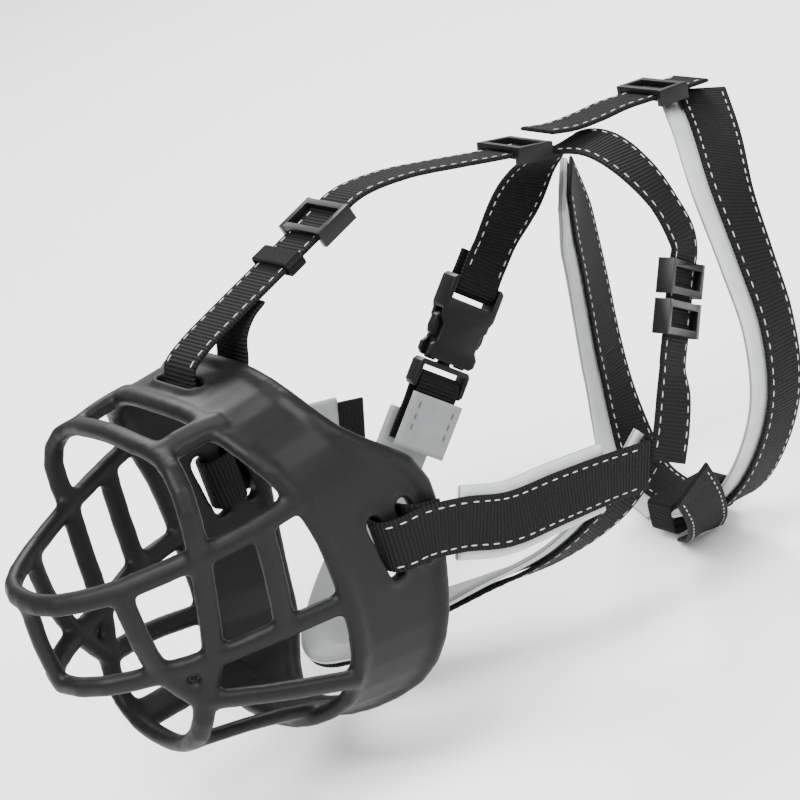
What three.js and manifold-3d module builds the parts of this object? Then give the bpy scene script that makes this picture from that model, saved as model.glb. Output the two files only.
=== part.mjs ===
// Basket muzzle for a large dog: one moulded rubber basket and its webbing harness.
// Millimetres. Origin: midpoint between the two side strap slots, in the snout opening.
// -Y points to the nose, +X to the wearer's left, +Z up.
import * as THREE from "three";
import { mergeVertices } from "three/addons/utils/BufferGeometryUtils.js";
import Module from "manifold-3d";

const wasm = await Module();
wasm.setup();

// ---- driving dimensions ----
const WEB_WIDTH = 20; // webbing of the harness
const WEB_THICK = 1.6;
const LINING_THICK = 3.0; // neoprene behind the webbing
const LINING_WIDTH = 24;
const SEAM_GAP = 0.5; // air between two sewn layers
const WALL = 4.2; // rubber of the rear band
const RIM_BEAD = 7.5; // rolled rear edge of the band
const BAR_DEPTH = 6; // basket bar, across the wall
const BAR_HEIGHT = 8; // basket bar, along the wall
const HALF_SLOT_SPAN = 58; // from the mid-plane to a side strap slot
const NOSE_REACH = 110; // from the slots to the tip of the nose bar
const SLOT_LENGTH = 27;
const SLOT_WIDTH = 6.4;

// ---- materials ----
const rubber = () => new THREE.MeshStandardMaterial({ color: 0x26272a, roughness: 0.55 });
const webbing = () => new THREE.MeshStandardMaterial({ color: 0x131416, roughness: 0.9 });
const neoprene = () => new THREE.MeshStandardMaterial({ color: 0x9a9c9e, roughness: 0.95 });
const plastic = () => new THREE.MeshStandardMaterial({ color: 0x1d1e20, roughness: 0.4 });

const muzzle = new THREE.Group();
const v = (x, y, z) => new THREE.Vector3(x, y, z);

function addMesh(name, geometry, material, parent = muzzle) {
  const mesh = new THREE.Mesh(geometry, material);
  mesh.name = name;
  parent.add(mesh);
  return mesh;
}

// ---- solids: joining and cutting ----
function solid(geometry) {
  const plain = geometry.clone();
  plain.deleteAttribute("normal");
  plain.deleteAttribute("uv");
  const merged = mergeVertices(plain, 1e-4);
  return new wasm.Manifold(
    new wasm.Mesh({
      numProp: 3,
      vertProperties: new Float32Array(merged.attributes.position.array),
      triVerts: new Uint32Array(merged.index.array),
    }),
  );
}

function geometryOf(manifold) {
  const mesh = manifold.getMesh();
  const geometry = new THREE.BufferGeometry();
  geometry.setAttribute("position", new THREE.BufferAttribute(mesh.vertProperties, 3));
  geometry.setIndex(new THREE.BufferAttribute(mesh.triVerts, 1));
  return geometry;
}

const join = (geometries) => geometries.map(solid).reduce((a, b) => a.add(b));

// ---- sweeps ----
// A closed solid from rings of points; every ring has the same number of points.
function skin(rings, closed) {
  const count = rings[0].length;
  const positions = rings.flat().flatMap((p) => [p.x, p.y, p.z]);
  const index = [];
  const last = closed ? rings.length : rings.length - 1;
  for (let i = 0; i < last; i++) {
    const a = i * count;
    const b = ((i + 1) % rings.length) * count;
    for (let j = 0; j < count; j++) {
      const k = (j + 1) % count;
      index.push(a + j, a + k, b + k, a + j, b + k, b + j);
    }
  }
  if (!closed) {
    const end = (rings.length - 1) * count;
    for (let j = 1; j < count - 1; j++) {
      index.push(0, j + 1, j, end, end + j, end + j + 1);
    }
  }
  const geometry = new THREE.BufferGeometry();
  geometry.setAttribute("position", new THREE.Float32BufferAttribute(positions, 3));
  geometry.setIndex(index);
  return geometry;
}

// Corners of a bar's section in (across, outward), with chamfered corners or square ones.
function section(across, outward, chamfer) {
  const w = across / 2;
  const t = outward / 2;
  const c = chamfer;
  if (c === 0) return [[-w, -t], [w, -t], [w, t], [-w, t]];
  return [
    [-w + c, -t], [w - c, -t], [w, -t + c], [w, t - c],
    [w - c, t], [-w + c, t], [-w, t - c], [-w, -t + c],
  ];
}

// Sweeps a section along a smooth curve. facing(point, t) gives the outward direction.
function sweep(points, facing, outline, steps, closed = false, shift = 0) {
  const curve = new THREE.CatmullRomCurve3(points, closed, "centripetal");
  const rings = [];
  const stations = closed ? steps : steps + 1;
  for (let i = 0; i < stations; i++) {
    const t = i / steps;
    const at = curve.getPointAt(t);
    const along = curve.getTangentAt(t);
    const out = facing(at, t).clone();
    out.addScaledVector(along, -out.dot(along)).normalize();
    const across = new THREE.Vector3().crossVectors(out, along);
    const ring = outline.map(([a, o]) =>
      at.clone().addScaledVector(across, a).addScaledVector(out, o + shift));
    rings.push(ring);
  }
  return skin(rings, closed);
}

// ---- the basket ----
const BASKET_AXIS_Z = 4; // height of the line that the basket wall is wrapped round
const mirror = (points) => points.map((p) => v(-p.x, p.y, p.z));
const throughMid = (points) => [...mirror(points.slice(1)).reverse(), ...points];
const fromAxis = (at) => v(at.x, Math.min(0, at.y + 55) * 1.2, at.z - BASKET_AXIS_Z);

const upperLoop = [
  v(0, -NOSE_REACH + 3, 28), v(15, -104, 28), v(31, -88, 28),
  v(39, -74, 29), v(46, -61, 30), v(54, -39, 32), v(57, -24, 34),
];
const lowerLoop = [
  v(0, -NOSE_REACH + 3, -6), v(15, -101, -7), v(29, -85, -8),
  v(39, -67, -9), v(51, -43, -8), v(57, -20, -9),
];
const frontRing = [
  v(0, -55, 66), v(16, -55, 65), v(31, -54, 62), v(43, -57, 56), v(48, -60, 45), v(46, -61, 30),
];
const frontBar = [v(46, -61, 30), v(43, -64, 10), v(39, -67, -9), v(34, -74, -24)];
const noseBar = [v(32, -87, 28), v(33, -87, 10), v(30, -83, -8), v(34, -74, -24)];
const chinLoop = [v(0, -79, -47), v(17, -79, -44), v(30, -77, -35), v(34, -74, -24)];
const sideBar = [v(54, -39, 32), v(53.5, -41, 12), v(51, -43, -8)];
const topBar = [v(30, -54, 62), v(31, -42, 63), v(33, -29, 62)];
const lowerRib = [v(34, -74, -24), v(46, -51, -31), v(53, -24, -40)];
const chinRib = [v(18, -78, -44), v(24, -52, -49), v(26, -28, -58)];
const middleBar = [v(0, -NOSE_REACH + 3, 28), v(0, -NOSE_REACH + 2, 11), v(0, -NOSE_REACH + 3, -6)];

// The band's rear and front edges from the top round one side to the bottom.
const rearEdge = [
  v(0, -7, 67), v(24, -7, 65), v(41, -6, 58), v(52, -2, 47), v(56.5, 9, 34), v(57.5, 20, 22),
  v(57.5, 22, 6), v(56.5, 18, -16), v(53, 12, -40), v(43, 4, -57), v(24, -12, -66), v(0, -21, -68),
];
const frontEdge = [
  v(0, -35, 67), v(24, -34, 65), v(41, -32, 57), v(52, -28, 46), v(57, -24, 33), v(58, -21, 20),
  v(58, -20, 6), v(57.5, -20, -12), v(54.5, -22, -32), v(45, -28, -49), v(24, -37, -58),
  v(0, -39, -60),
];

function closedEdge(half) {
  const curve = [...half, ...mirror(half.slice(1, -1)).reverse()];
  return new THREE.CatmullRomCurve3(curve, true, "centripetal");
}

const BAND_STATIONS = 48;
function bandPoint(edgeRear, edgeFront, share, u) {
  const rear = edgeRear.getPoint(u);
  const front = edgeFront.getPoint(u);
  return rear.lerp(front, share);
}

function band() {
  const rear = closedEdge(rearEdge);
  const front = closedEdge(frontEdge);
  const rings = [];
  for (let i = 0; i < BAND_STATIONS; i++) {
    const u = 1 - i / BAND_STATIONS;
    const a = bandPoint(rear, front, 0, u);
    const b = bandPoint(rear, front, 1, u);
    const next = bandPoint(rear, front, 0.5, u - 0.004);
    const before = bandPoint(rear, front, 0.5, u + 0.004);
    const round = next.sub(before).normalize();
    const out = new THREE.Vector3().crossVectors(a.clone().sub(b), round).normalize();
    const half = out.multiplyScalar(WALL / 2);
    rings.push([b.clone().sub(half), b.clone().add(half), a.clone().add(half), a.clone().sub(half)]);
  }
  return skin(rings, true);
}

function edgeBar(half, outline, steps) {
  const curve = closedEdge(half);
  const points = [];
  for (let i = 0; i < steps; i++) points.push(curve.getPoint(i / steps));
  return sweep(points, fromAxis, outline, steps, true);
}

// A round-ended slot through the wall, at a centre, long along one direction.
function slotCutter(centre, long, outward) {
  const shape = new THREE.Shape();
  const reach = SLOT_LENGTH / 2 - SLOT_WIDTH / 2;
  shape.absarc(reach, 0, SLOT_WIDTH / 2, -Math.PI / 2, Math.PI / 2, false);
  shape.absarc(-reach, 0, SLOT_WIDTH / 2, Math.PI / 2, (3 * Math.PI) / 2, false);
  const depth = 24;
  const geometry = new THREE.ExtrudeGeometry(shape, { depth, bevelEnabled: false, curveSegments: 6 });
  geometry.translate(0, 0, -depth / 2);
  return geometry.applyMatrix4(placement(centre, long, outward));
}

// Local X goes along `across`, local Z along `outward`, local Y is what is left.
function placement(centre, across, outward) {
  const z = outward.clone().normalize();
  const x = across.clone().addScaledVector(z, -across.dot(z)).normalize();
  const y = new THREE.Vector3().crossVectors(z, x);
  return new THREE.Matrix4().makeBasis(x, y, z).setPosition(centre);
}

const TOP_SLOT = v(0, -23, 67);
const SIDE_SLOT = v(HALF_SLOT_SPAN, -1, 2);
const REAR_SLOT = v(HALF_SLOT_SPAN, 12, 2);

function basket() {
  const bar = section(BAR_HEIGHT, BAR_DEPTH, 1.8);
  const flatBar = section(14, 5, 1.6);
  const bead = section(RIM_BEAD, RIM_BEAD, 2.2);
  const pieces = [
    band(),
    edgeBar(rearEdge, bead, 46),
    edgeBar(frontEdge, section(7, 6, 1.8), 42),
    sweep(throughMid(upperLoop), fromAxis, bar, 26),
    sweep(throughMid(lowerLoop), fromAxis, bar, 22),
    sweep(throughMid(frontRing), fromAxis, bar, 18),
    sweep(throughMid(chinLoop), fromAxis, bar, 12),
    sweep(middleBar, () => v(0, -1, 0), section(6.5, BAR_DEPTH, 1.8), 2),
  ];
  for (const side of [1, -1]) {
    const own = (points) => (side === 1 ? points : mirror(points));
    pieces.push(
      sweep(own(frontBar), fromAxis, bar, 6),
      sweep(own(noseBar), fromAxis, bar, 6),
      sweep(own(sideBar), fromAxis, bar, 4),
      sweep(own(topBar), fromAxis, section(10, BAR_DEPTH, 1.8), 3),
      sweep(own(lowerRib), fromAxis, bar, 5),
      sweep(own(chinRib), fromAxis, flatBar, 5),
    );
  }
  let made = join(pieces);
  const cutters = [slotCutter(TOP_SLOT, v(1, 0, 0), v(0, 0.05, 1))];
  for (const side of [1, -1]) {
    const flip = v(side, 1, 1);
    cutters.push(slotCutter(SIDE_SLOT.clone().multiply(flip), v(0, -0.12, 1), v(side, 0, 0)));
    cutters.push(slotCutter(REAR_SLOT.clone().multiply(flip), v(0, -0.12, 1), v(side, 0, 0)));
  }
  for (const cutter of cutters) made = made.subtract(solid(cutter));
  return geometryOf(made);
}

addMesh("basket", basket(), rubber());

// ---- webbing and linings ----
// A route is a list of [point, outward]; the strap's face looks along outward.
const toPoints = (route) => route.map(([point]) => point);
const flipX = (route) => route.map(([p, o]) => [v(-p.x, p.y, p.z), v(-o.x, o.y, o.z)]);

function strap(route, width, thickness, steps, shift = 0) {
  const points = toPoints(route);
  const line = new THREE.CatmullRomCurve3(points, false, "centripetal");
  const faces = new THREE.CatmullRomCurve3(route.map(([, o]) => o.clone().normalize()), false);
  const facing = (at, t) => faces.getPoint(line.getUtoTmapping(t));
  return sweep(points, facing, section(width, thickness, 0), steps, false, shift);
}

const LINING_SHIFT = -(WEB_THICK / 2 + SEAM_GAP + LINING_THICK / 2);
const web = (name, route, steps) =>
  addMesh(name, strap(route, WEB_WIDTH, WEB_THICK, steps), webbing());
const lining = (name, route, steps, extraGap = 0) =>
  addMesh(
    name,
    strap(route, LINING_WIDTH, LINING_THICK, steps, LINING_SHIFT - extraGap),
    neoprene(),
  );

const OUT_TOP = v(0, -0.25, 0.97);
const OUT_CROWN = v(0, 0.17, 0.98);
const OUT_DOWN = v(0, -0.2, -1);

// Forehead strap: round the rubber behind the top slot, then over the forehead to the crown.
const FOREHEAD_GLIDE = v(0, 50, 95.8);
const CROWN_GLIDE = v(0, 140, 81.6);
const foreheadRoute = [
  [v(0, 14, 83.3), v(0, 0.4, -0.92)],
  [v(0, 7.5, 80.3), v(0, 0.55, -0.83)],
  [v(0, 2.2, 74.8), v(0, 0.85, -0.5)],
  [v(0, -0.6, 67), v(0, 1, -0.1)],
  [v(0, -4, 61.2), v(0, 0.6, -1)],
  [v(0, -14, 60), v(0, -0.1, -1)],
  [v(0, -21.6, 62.6), v(0, -1, -0.6)],
  [v(0, -23, 67.5), v(0, -1, 0)],
  [v(0, -21, 74), v(0, -1, 0.6)],
  [v(0, -12, 78.5), OUT_TOP],
  [v(0, 4, 83.2), OUT_TOP],
  [v(0, 20, 87.6), OUT_TOP],
  [v(0, 35, 91.7), OUT_TOP],
  [v(0, 50, 95.8), OUT_TOP],
  [v(0, 65, 99.6), v(0, -0.1, 1)],
  [v(0, 85, 97.5), v(0, 0.1, 1)],
  [v(0, 110, 90.5), OUT_CROWN],
  [v(0, 125, 85.9), OUT_CROWN],
  [v(0, 140, 81.6), OUT_CROWN],
  [v(0, 151, 78.6), OUT_CROWN],
];
web("forehead_strap", foreheadRoute, 46);

// A three-bar slide: end bars over the webbing, centre bar under it, so it runs along the strap.
function triGlide(width, length) {
  const rail = 2.4;
  const barDepth = 2;
  const lift = WEB_THICK / 2 + 0.4 + barDepth / 2;
  const railX = width / 2 + 0.6 + rail / 2;
  const boxAt = (x, y, z, at) => new THREE.BoxGeometry(x, y, z).translate(...at);
  const span = 2 * railX + rail * 0.5;
  const pieces = [
    boxAt(rail, length, 2 * lift + barDepth, [railX, 0, 0]),
    boxAt(rail, length, 2 * lift + barDepth, [-railX, 0, 0]),
    boxAt(span, 2.6, barDepth, [0, length / 2 - 1.5, lift]),
    boxAt(span, 2.6, barDepth, [0, -length / 2 + 1.5, lift]),
    boxAt(span, 2.8, barDepth, [0, 0, -lift]),
  ];
  return geometryOf(join(pieces));
}

// Local Y runs along the strap and local Z looks outward.
function alongStrap(centre, along, outward) {
  const across = new THREE.Vector3().crossVectors(along, outward);
  return placement(centre, across, outward);
}

function addGlide(name, centre, along, outward, length = 14) {
  const mesh = addMesh(name, triGlide(WEB_WIDTH, length), plastic());
  mesh.applyMatrix4(alongStrap(centre, along, outward));
}

addGlide("forehead_tri_glide", FOREHEAD_GLIDE, v(0, 0.965, 0.262), v(0, -0.262, 0.965), 16);
addGlide("crown_tri_glide", CROWN_GLIDE, v(0, 0.961, -0.275), v(0, 0.275, 0.961), 16);

// Sewn webbing loop that keeps the free end of the forehead strap flat.
function keeperLoop(centre, along, outward, gapWidth, gapHeight, length) {
  const outer = new THREE.BoxGeometry(gapWidth + 3.2, length, gapHeight + 3.2);
  const inner = new THREE.BoxGeometry(gapWidth, length + 2, gapHeight);
  const loop = geometryOf(solid(outer).subtract(solid(inner)));
  return loop.applyMatrix4(alongStrap(centre, along, outward));
}

addMesh(
  "forehead_keeper",
  keeperLoop(v(0, 30, 90.3), v(0, 0.965, 0.262), v(0, -0.262, 0.965), WEB_WIDTH + 1.4, 3, 8),
  webbing(),
);

// ---- side-release buckle on the right ----
const BUCKLE_CENTRE = v(-51, 119, 5);
const BUCKLE_UP = v(0.08, 0.7, 0.71).normalize();
const BUCKLE_OUT = v(-0.98, 0.13, 0.12);
BUCKLE_OUT.addScaledVector(BUCKLE_UP, -BUCKLE_OUT.dot(BUCKLE_UP)).normalize();
const buckleFrame = alongStrap(BUCKLE_CENTRE, BUCKLE_UP, BUCKLE_OUT);
const onBuckle = (x, y, z) => v(x, y, z).applyMatrix4(buckleFrame);

function plate(corners, depth) {
  const shape = new THREE.Shape(corners.map(([x, y]) => new THREE.Vector2(x, y)));
  const geometry = new THREE.ExtrudeGeometry(shape, { depth, bevelEnabled: false });
  return geometry.translate(0, 0, -depth / 2);
}

const symmetric = (half) => [...half, ...half.map(([x, y]) => [-x, y]).reverse()];
const boxFrom = (low, high) =>
  new THREE.BoxGeometry(high[0] - low[0], high[1] - low[1], high[2] - low[2])
    .translate((low[0] + high[0]) / 2, (low[1] + high[1]) / 2, (low[2] + high[2]) / 2);

function buckleSocket() {
  const body = symmetric([
    [10, -10.9], [11.8, -9.2], [11.8, -6], [9.8, -3.6], [9.8, 3], [11.8, 5.6], [11.8, 8],
    [13, 10.5], [13, 22], [11.5, 23.5],
  ]);
  let made = solid(plate(body, 8.8));
  const cuts = [
    boxFrom([-14, -12, -2.3], [14, 9, 2.3]),
    boxFrom([-10.6, 14.2, -5], [10.6, 20, 5]),
    boxFrom([-10.6, 19.9, 1.4], [10.6, 24, 5]),
    boxFrom([-10.6, 19.9, -5], [10.6, 24, -1.4]),
  ];
  for (const cut of cuts) made = made.subtract(solid(cut));
  return geometryOf(made);
}

function bucklePlug() {
  const base = symmetric([[11.5, -23.5], [12.8, -22], [12.8, -13.5], [11.5, -12]]);
  let made = solid(plate(base, 6.4)).add(solid(boxFrom([-2.2, -12.5, -1.8], [2.2, 3, 1.8])));
  const cuts = [
    boxFrom([-10.6, -20, -5], [10.6, -14.2, 5]),
    boxFrom([-10.6, -24, 1.4], [10.6, -19.9, 5]),
    boxFrom([-10.6, -24, -5], [10.6, -19.9, -1.4]),
  ];
  for (const cut of cuts) made = made.subtract(solid(cut));
  return geometryOf(made);
}

function latchArm(side) {
  const outline = [
    [5.8, -11.6], [9.4, -11.6], [9.4, -3.2], [12.4, -1.8], [13.2, 1], [13, 5.6],
    [9.8, 8.4], [7.2, 8.4], [6.4, -2],
  ];
  const own = side === 1 ? outline : outline.map(([x, y]) => [-x, y]).reverse();
  return plate(own, 3.6);
}

addMesh("buckle_socket", buckleSocket(), plastic()).applyMatrix4(buckleFrame);
addMesh("buckle_plug", bucklePlug(), plastic()).applyMatrix4(buckleFrame);
addMesh("latch_arm_front", latchArm(1), plastic()).applyMatrix4(buckleFrame);
addMesh("latch_arm_rear", latchArm(-1), plastic()).applyMatrix4(buckleFrame);

// Crown strap: from the socket over the crown to the two slides on the left.
const IN = BUCKLE_OUT.clone().negate();
const BAR_OFFSET = 2.7;
const SIDE_RUN = v(0.12, -0.55, -0.83).normalize();
const SIDE_MIDDLE = v(52, 154.5, 18);
const SIDE_OUT = v(0.87, 0.48, 0.08);
SIDE_OUT.addScaledVector(SIDE_RUN, -SIDE_OUT.dot(SIDE_RUN)).normalize();
const SIDE_IN = SIDE_OUT.clone().negate();
const onSide = (distance) => SIDE_MIDDLE.clone().addScaledVector(SIDE_RUN, distance);
const crownRoute = [
  [onBuckle(0, 34, BAR_OFFSET), BUCKLE_OUT],
  [onBuckle(0, 28, BAR_OFFSET), BUCKLE_OUT],
  [onBuckle(0, 19.5, BAR_OFFSET), BUCKLE_OUT],
  [onBuckle(0, 17, 0), BUCKLE_UP.clone().negate()],
  [onBuckle(0, 19.5, -BAR_OFFSET), IN],
  [onBuckle(0, 28, -BAR_OFFSET), IN],
  [onBuckle(0, 38, -BAR_OFFSET - 0.5), IN],
  [v(-34, 155, 48.5), v(0.9, -0.35, 0.1)],
  [v(-20, 160, 63.5), v(0.65, -0.3, -0.6)],
  [v(0, 162, 74), v(0, 0, -1)],
  [v(17, 165, 74), v(-0.4, -0.1, -0.9)],
  [v(33, 166, 65.5), v(-0.8, -0.3, -0.6)],
  [v(44, 167, 51), v(-0.85, -0.45, -0.3)],
  [onSide(-21), SIDE_IN],
  [onSide(-10), SIDE_IN],
  [onSide(0), SIDE_IN],
  [onSide(13), SIDE_IN],
  [onSide(24), SIDE_IN],
];
web("crown_strap", crownRoute, 44);
addGlide("side_tri_glide_upper", onSide(-8), SIDE_RUN, SIDE_OUT, 13);
addGlide("side_tri_glide_lower", onSide(7), SIDE_RUN, SIDE_OUT, 13);

// Short strap from the slides to the junction behind the left cheek.
const sideRoute = [
  [onSide(24.6), SIDE_OUT],
  [v(57.5, 136, -11), v(0.95, 0.3, 0.1)],
  [v(59.5, 129, -22), v(1, 0.1, -0.1)],
  [v(60.5, 122, -32), v(1, 0, -0.2)],
];
web("side_strap", sideRoute, 8);

// ---- throat strap, tab on the plug and cheek straps ----
const tabLine = (distance, depth) => onBuckle(0, -distance, depth);
const tabRoute = [
  [tabLine(46, BAR_OFFSET), BUCKLE_OUT],
  [tabLine(30, BAR_OFFSET), BUCKLE_OUT],
  [tabLine(19.5, BAR_OFFSET), BUCKLE_OUT],
  [tabLine(17, 0), BUCKLE_UP],
  [tabLine(19.5, -BAR_OFFSET), IN],
  [tabLine(30, -BAR_OFFSET), IN],
  [tabLine(48, -BAR_OFFSET), IN],
];
web("plug_tab", tabRoute, 22);
const tabLining = [25.5, 36, 48].map((d) => [tabLine(d, -BAR_OFFSET), BUCKLE_OUT]);
lining("plug_tab_lining", tabLining, 3);

const THROAT_OFFSET = 8.6;
const throatRoute = [
  [v(55, 124, -26), v(0.95, 0.1, -0.3)],
  [v(50, 102, -42), v(0.85, 0, -0.5)],
  [v(38, 78, -53), v(0.6, -0.1, -0.8)],
  [v(20, 54, -58), v(0.3, -0.2, -0.9)],
  [v(0, 32, -64), OUT_DOWN],
  [v(-20, 16, -74), v(-0.35, -0.3, -0.9)],
  [v(-38, 12, -78), v(-0.65, -0.3, -0.7)],
  [v(-53, 24, -74), v(-0.9, -0.2, -0.4)],
  [v(-61, 43, -62), v(-1, 0, -0.1)],
  [tabLine(78, THROAT_OFFSET), BUCKLE_OUT],
  [tabLine(64, THROAT_OFFSET), BUCKLE_OUT],
  [tabLine(48, THROAT_OFFSET), BUCKLE_OUT],
  [tabLine(34, THROAT_OFFSET), BUCKLE_OUT],
];
web("throat_strap", throatRoute, 60);
lining("throat_strap_lining", throatRoute, 60, 0.3);

// The cheek strap goes in at the rear slot, round the bar and out at the front slot.
const slotLoop = [
  [v(63.2, 21, -1), v(-1, 0, 0)],
  [v(61.6, 14, 1.2), v(-0.8, 0.6, 0)],
  [v(57.5, 11.9, 2), v(0, 1, 0)],
  [v(53, 9.8, 2.3), v(-0.8, 0.6, 0)],
  [v(52, 5.2, 2.5), v(-1, 0, 0)],
  [v(53, 0.3, 2.3), v(-0.7, -0.7, 0)],
  [v(57.5, -1.2, 2.1), v(0, -1, 0)],
  [v(62.2, 0.2, 1.9), v(0.7, -0.7, 0)],
  [v(65, 5, 1.6), v(0.95, -0.2, 0)],
  [v(65.7, 13, 0.8), v(1, 0, 0)],
];
const leftCheek = [
  [v(66, 28, -4), v(1, 0, 0)],
  [v(66.5, 46, -12), v(1, 0.05, 0.05)],
  [v(65.5, 70, -17), v(1, 0.05, 0)],
  [v(64, 92, -22), v(1, 0, -0.1)],
  [v(63, 112, -27), v(1, 0, -0.2)],
];
const rightCheek = flipX([
  [v(66, 28, -2), v(1, 0, 0)],
  [v(68, 46, -5), v(1, 0, 0)],
  [v(71, 64, -11), v(1, -0.1, 0)],
  [v(74, 80, -17), v(1, -0.15, 0)],
]);
const rightSlotLoop = flipX(slotLoop);
web("cheek_strap_left", [...slotLoop, ...leftCheek], 44);
web("cheek_strap_right", [...rightSlotLoop, ...rightCheek], 40);
lining("cheek_lining_left", leftCheek.slice(0, 4), 12);
lining("cheek_lining_right", rightCheek.slice(0, 3), 10);

// ---- neck collar ----
const leftCollar = [
  [v(5, 228, 66.8), v(0.1, 0.3, 1)],
  [v(25, 214, 57), v(0.5, 0.2, 0.85)],
  [v(45, 198, 42), v(0.8, 0.2, 0.6)],
  [v(59, 189, 21), v(0.95, 0.2, 0.3)],
  [v(67, 184, -4), v(1, 0.2, 0)],
  [v(66, 179, -32), v(0.95, 0.1, -0.3)],
  [v(54, 173, -58), v(0.8, 0, -0.6)],
  [v(32, 170, -80), v(0.5, -0.1, -0.9)],
  [v(4.5, 169, -91), v(0.1, -0.1, -1)],
];
// The right half lies with its webbing turned in and its lining turned out.
const rightCollar = [
  [v(-17, 172, 54), v(0.8, 0.5, 0.2)],
  [v(-30, 180, 27), v(0.92, 0.34, 0.1)],
  [v(-43, 186, -6), v(0.94, 0.34, 0.1)],
  [v(-50, 187, -40), v(0.94, 0.34, 0.1)],
  [v(-46, 183, -66), v(0.8, 0.25, 0.5)],
  [v(-31, 175, -83), v(0.5, 0.1, 0.85)],
  [v(-4.5, 169, -88), v(0.1, 0.1, 1)],
];
web("collar_left", leftCollar, 34);
lining("collar_lining_left", leftCollar, 34, 0.3);
web("collar_right", rightCollar, 28);
lining("collar_lining_right", rightCollar, 28);

// Link from the crown back to the top of the collar.
const linkRoute = [
  [v(0, 152, 84), v(0, 0.2, 1)],
  [v(0, 163, 80.5), v(0, 0.15, 1)],
  [v(0, 176, 78.5), v(0, 0.05, 1)],
  [v(0, 189, 77.4), v(0, 0.05, 1)],
  [v(0, 202, 75.1), v(0, 0.17, 0.985)],
  [v(0, 216, 72.7), v(0, 0.17, 0.985)],
  [v(0, 229, 70.5), v(0, 0.17, 0.985)],
];
web("neck_link", linkRoute, 16);
addGlide("neck_tri_glide", v(0, 209, 73.9), v(0, 0.985, -0.17), v(0, 0.17, 0.985), 14);

// Keeper where the two collar halves meet, and the strap from there to the left junction.
addMesh(
  "collar_keeper",
  keeperLoop(v(0, 169, -89), v(1, 0, 0), v(0, -0.1, -1), LINING_WIDTH + 6, 10.4, 15),
  webbing(),
);
const underLink = [
  [v(10, 162, -97), v(0.2, -0.1, -1)],
  [v(30, 152, -84), v(0.6, 0, -0.8)],
  [v(48, 141, -65), v(0.9, 0, -0.4)],
  [v(60, 130, -46), v(1, 0, -0.2)],
];
web("collar_throat_link", underLink, 12);

export default muzzle;
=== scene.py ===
import math

import bmesh
import bpy
from mathutils import Matrix, Vector


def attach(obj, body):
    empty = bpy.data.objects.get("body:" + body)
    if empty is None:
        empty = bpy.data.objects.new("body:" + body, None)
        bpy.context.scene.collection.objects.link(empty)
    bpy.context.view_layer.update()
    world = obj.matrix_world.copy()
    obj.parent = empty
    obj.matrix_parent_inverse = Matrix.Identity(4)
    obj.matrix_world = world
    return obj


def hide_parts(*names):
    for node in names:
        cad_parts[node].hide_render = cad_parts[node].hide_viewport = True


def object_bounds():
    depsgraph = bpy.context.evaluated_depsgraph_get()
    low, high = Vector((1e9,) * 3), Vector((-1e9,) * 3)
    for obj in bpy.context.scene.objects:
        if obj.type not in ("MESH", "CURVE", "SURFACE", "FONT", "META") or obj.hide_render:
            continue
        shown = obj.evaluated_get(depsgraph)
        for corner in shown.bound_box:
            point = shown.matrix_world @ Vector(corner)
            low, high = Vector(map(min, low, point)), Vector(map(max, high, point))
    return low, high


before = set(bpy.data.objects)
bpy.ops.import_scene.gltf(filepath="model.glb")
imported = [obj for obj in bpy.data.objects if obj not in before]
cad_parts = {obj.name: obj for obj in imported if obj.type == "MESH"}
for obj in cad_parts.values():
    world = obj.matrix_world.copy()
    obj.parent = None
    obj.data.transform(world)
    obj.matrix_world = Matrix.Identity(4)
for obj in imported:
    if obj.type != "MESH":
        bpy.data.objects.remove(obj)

CAD_BOX = [list(corner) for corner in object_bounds()]
MM = 0.001
ROOT = "muzzle"
PLUG = "buckle_plug"

# Sizes of the harness, in millimetres.
WEB_WIDTH = 20.0
WEB_THICK = 1.6
WEB_EDGE = 0.7  # rounding of the webbing's long edges
LINING_THICK = 3.0
LINING_EDGE = 1.3
SEAM_GAP = 0.5  # between a webbing and its lining
RIB_PITCH = 1.5  # crosswise ribs of the webbing
STITCH_PITCH = 4.7
STITCH_LENGTH = 2.7
STITCH_WIDTH = 0.6
STITCH_HEIGHT = 0.28
STITCH_INSET = 2.2  # from the webbing's edge to its stitch line
STITCH_ROW = WEB_WIDTH / 2 - STITCH_INSET
EDGE_ROWS = (-STITCH_ROW, STITCH_ROW)
TAB_ROWS = (-8.5, 8.5)
LINING_BACK = -(SEAM_GAP + LINING_THICK)  # from a webbing's inner face to its lining's


# ---------------------------------------------------------------- routes
# A route is a list of ((x, y, z), outward), in millimetres: the same points as the CAD straps.
# The crown and side straps are one strap here, so the side route's outward is turned round.
def normal(x, y, z):
    return Vector((x, y, z)).normalized()


BUCKLE_CENTRE = Vector((-51, 119, 5))
BUCKLE_UP = normal(0.08, 0.7, 0.71)
BUCKLE_OUT = Vector((-0.98, 0.13, 0.12))
BUCKLE_OUT = (BUCKLE_OUT - BUCKLE_UP * BUCKLE_OUT.dot(BUCKLE_UP)).normalized()
BUCKLE_IN = -BUCKLE_OUT
BAR_OFFSET = 2.7
THROAT_OFFSET = 8.6


def placement(centre, along, outward):
    """Local Y runs along the strap, local Z looks outward."""
    z = outward.normalized()
    y = (along - z * along.dot(z)).normalized()
    x = y.cross(z)
    turned = Matrix((x, y, z)).transposed().to_4x4()
    return Matrix.Translation(centre) @ turned


BUCKLE_FRAME = placement(BUCKLE_CENTRE, BUCKLE_UP, BUCKLE_OUT)


def on_buckle(x, y, z):
    return tuple(BUCKLE_FRAME @ Vector((x, y, z)))


def tab_line(distance, depth):
    return on_buckle(0, -distance, depth)


SIDE_RUN = normal(0.12, -0.55, -0.83)
SIDE_MIDDLE = Vector((52, 154.5, 18))
SIDE_FACE = Vector((0.87, 0.48, 0.08))
SIDE_IN = (SIDE_RUN * SIDE_FACE.dot(SIDE_RUN) - SIDE_FACE).normalized()


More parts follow.
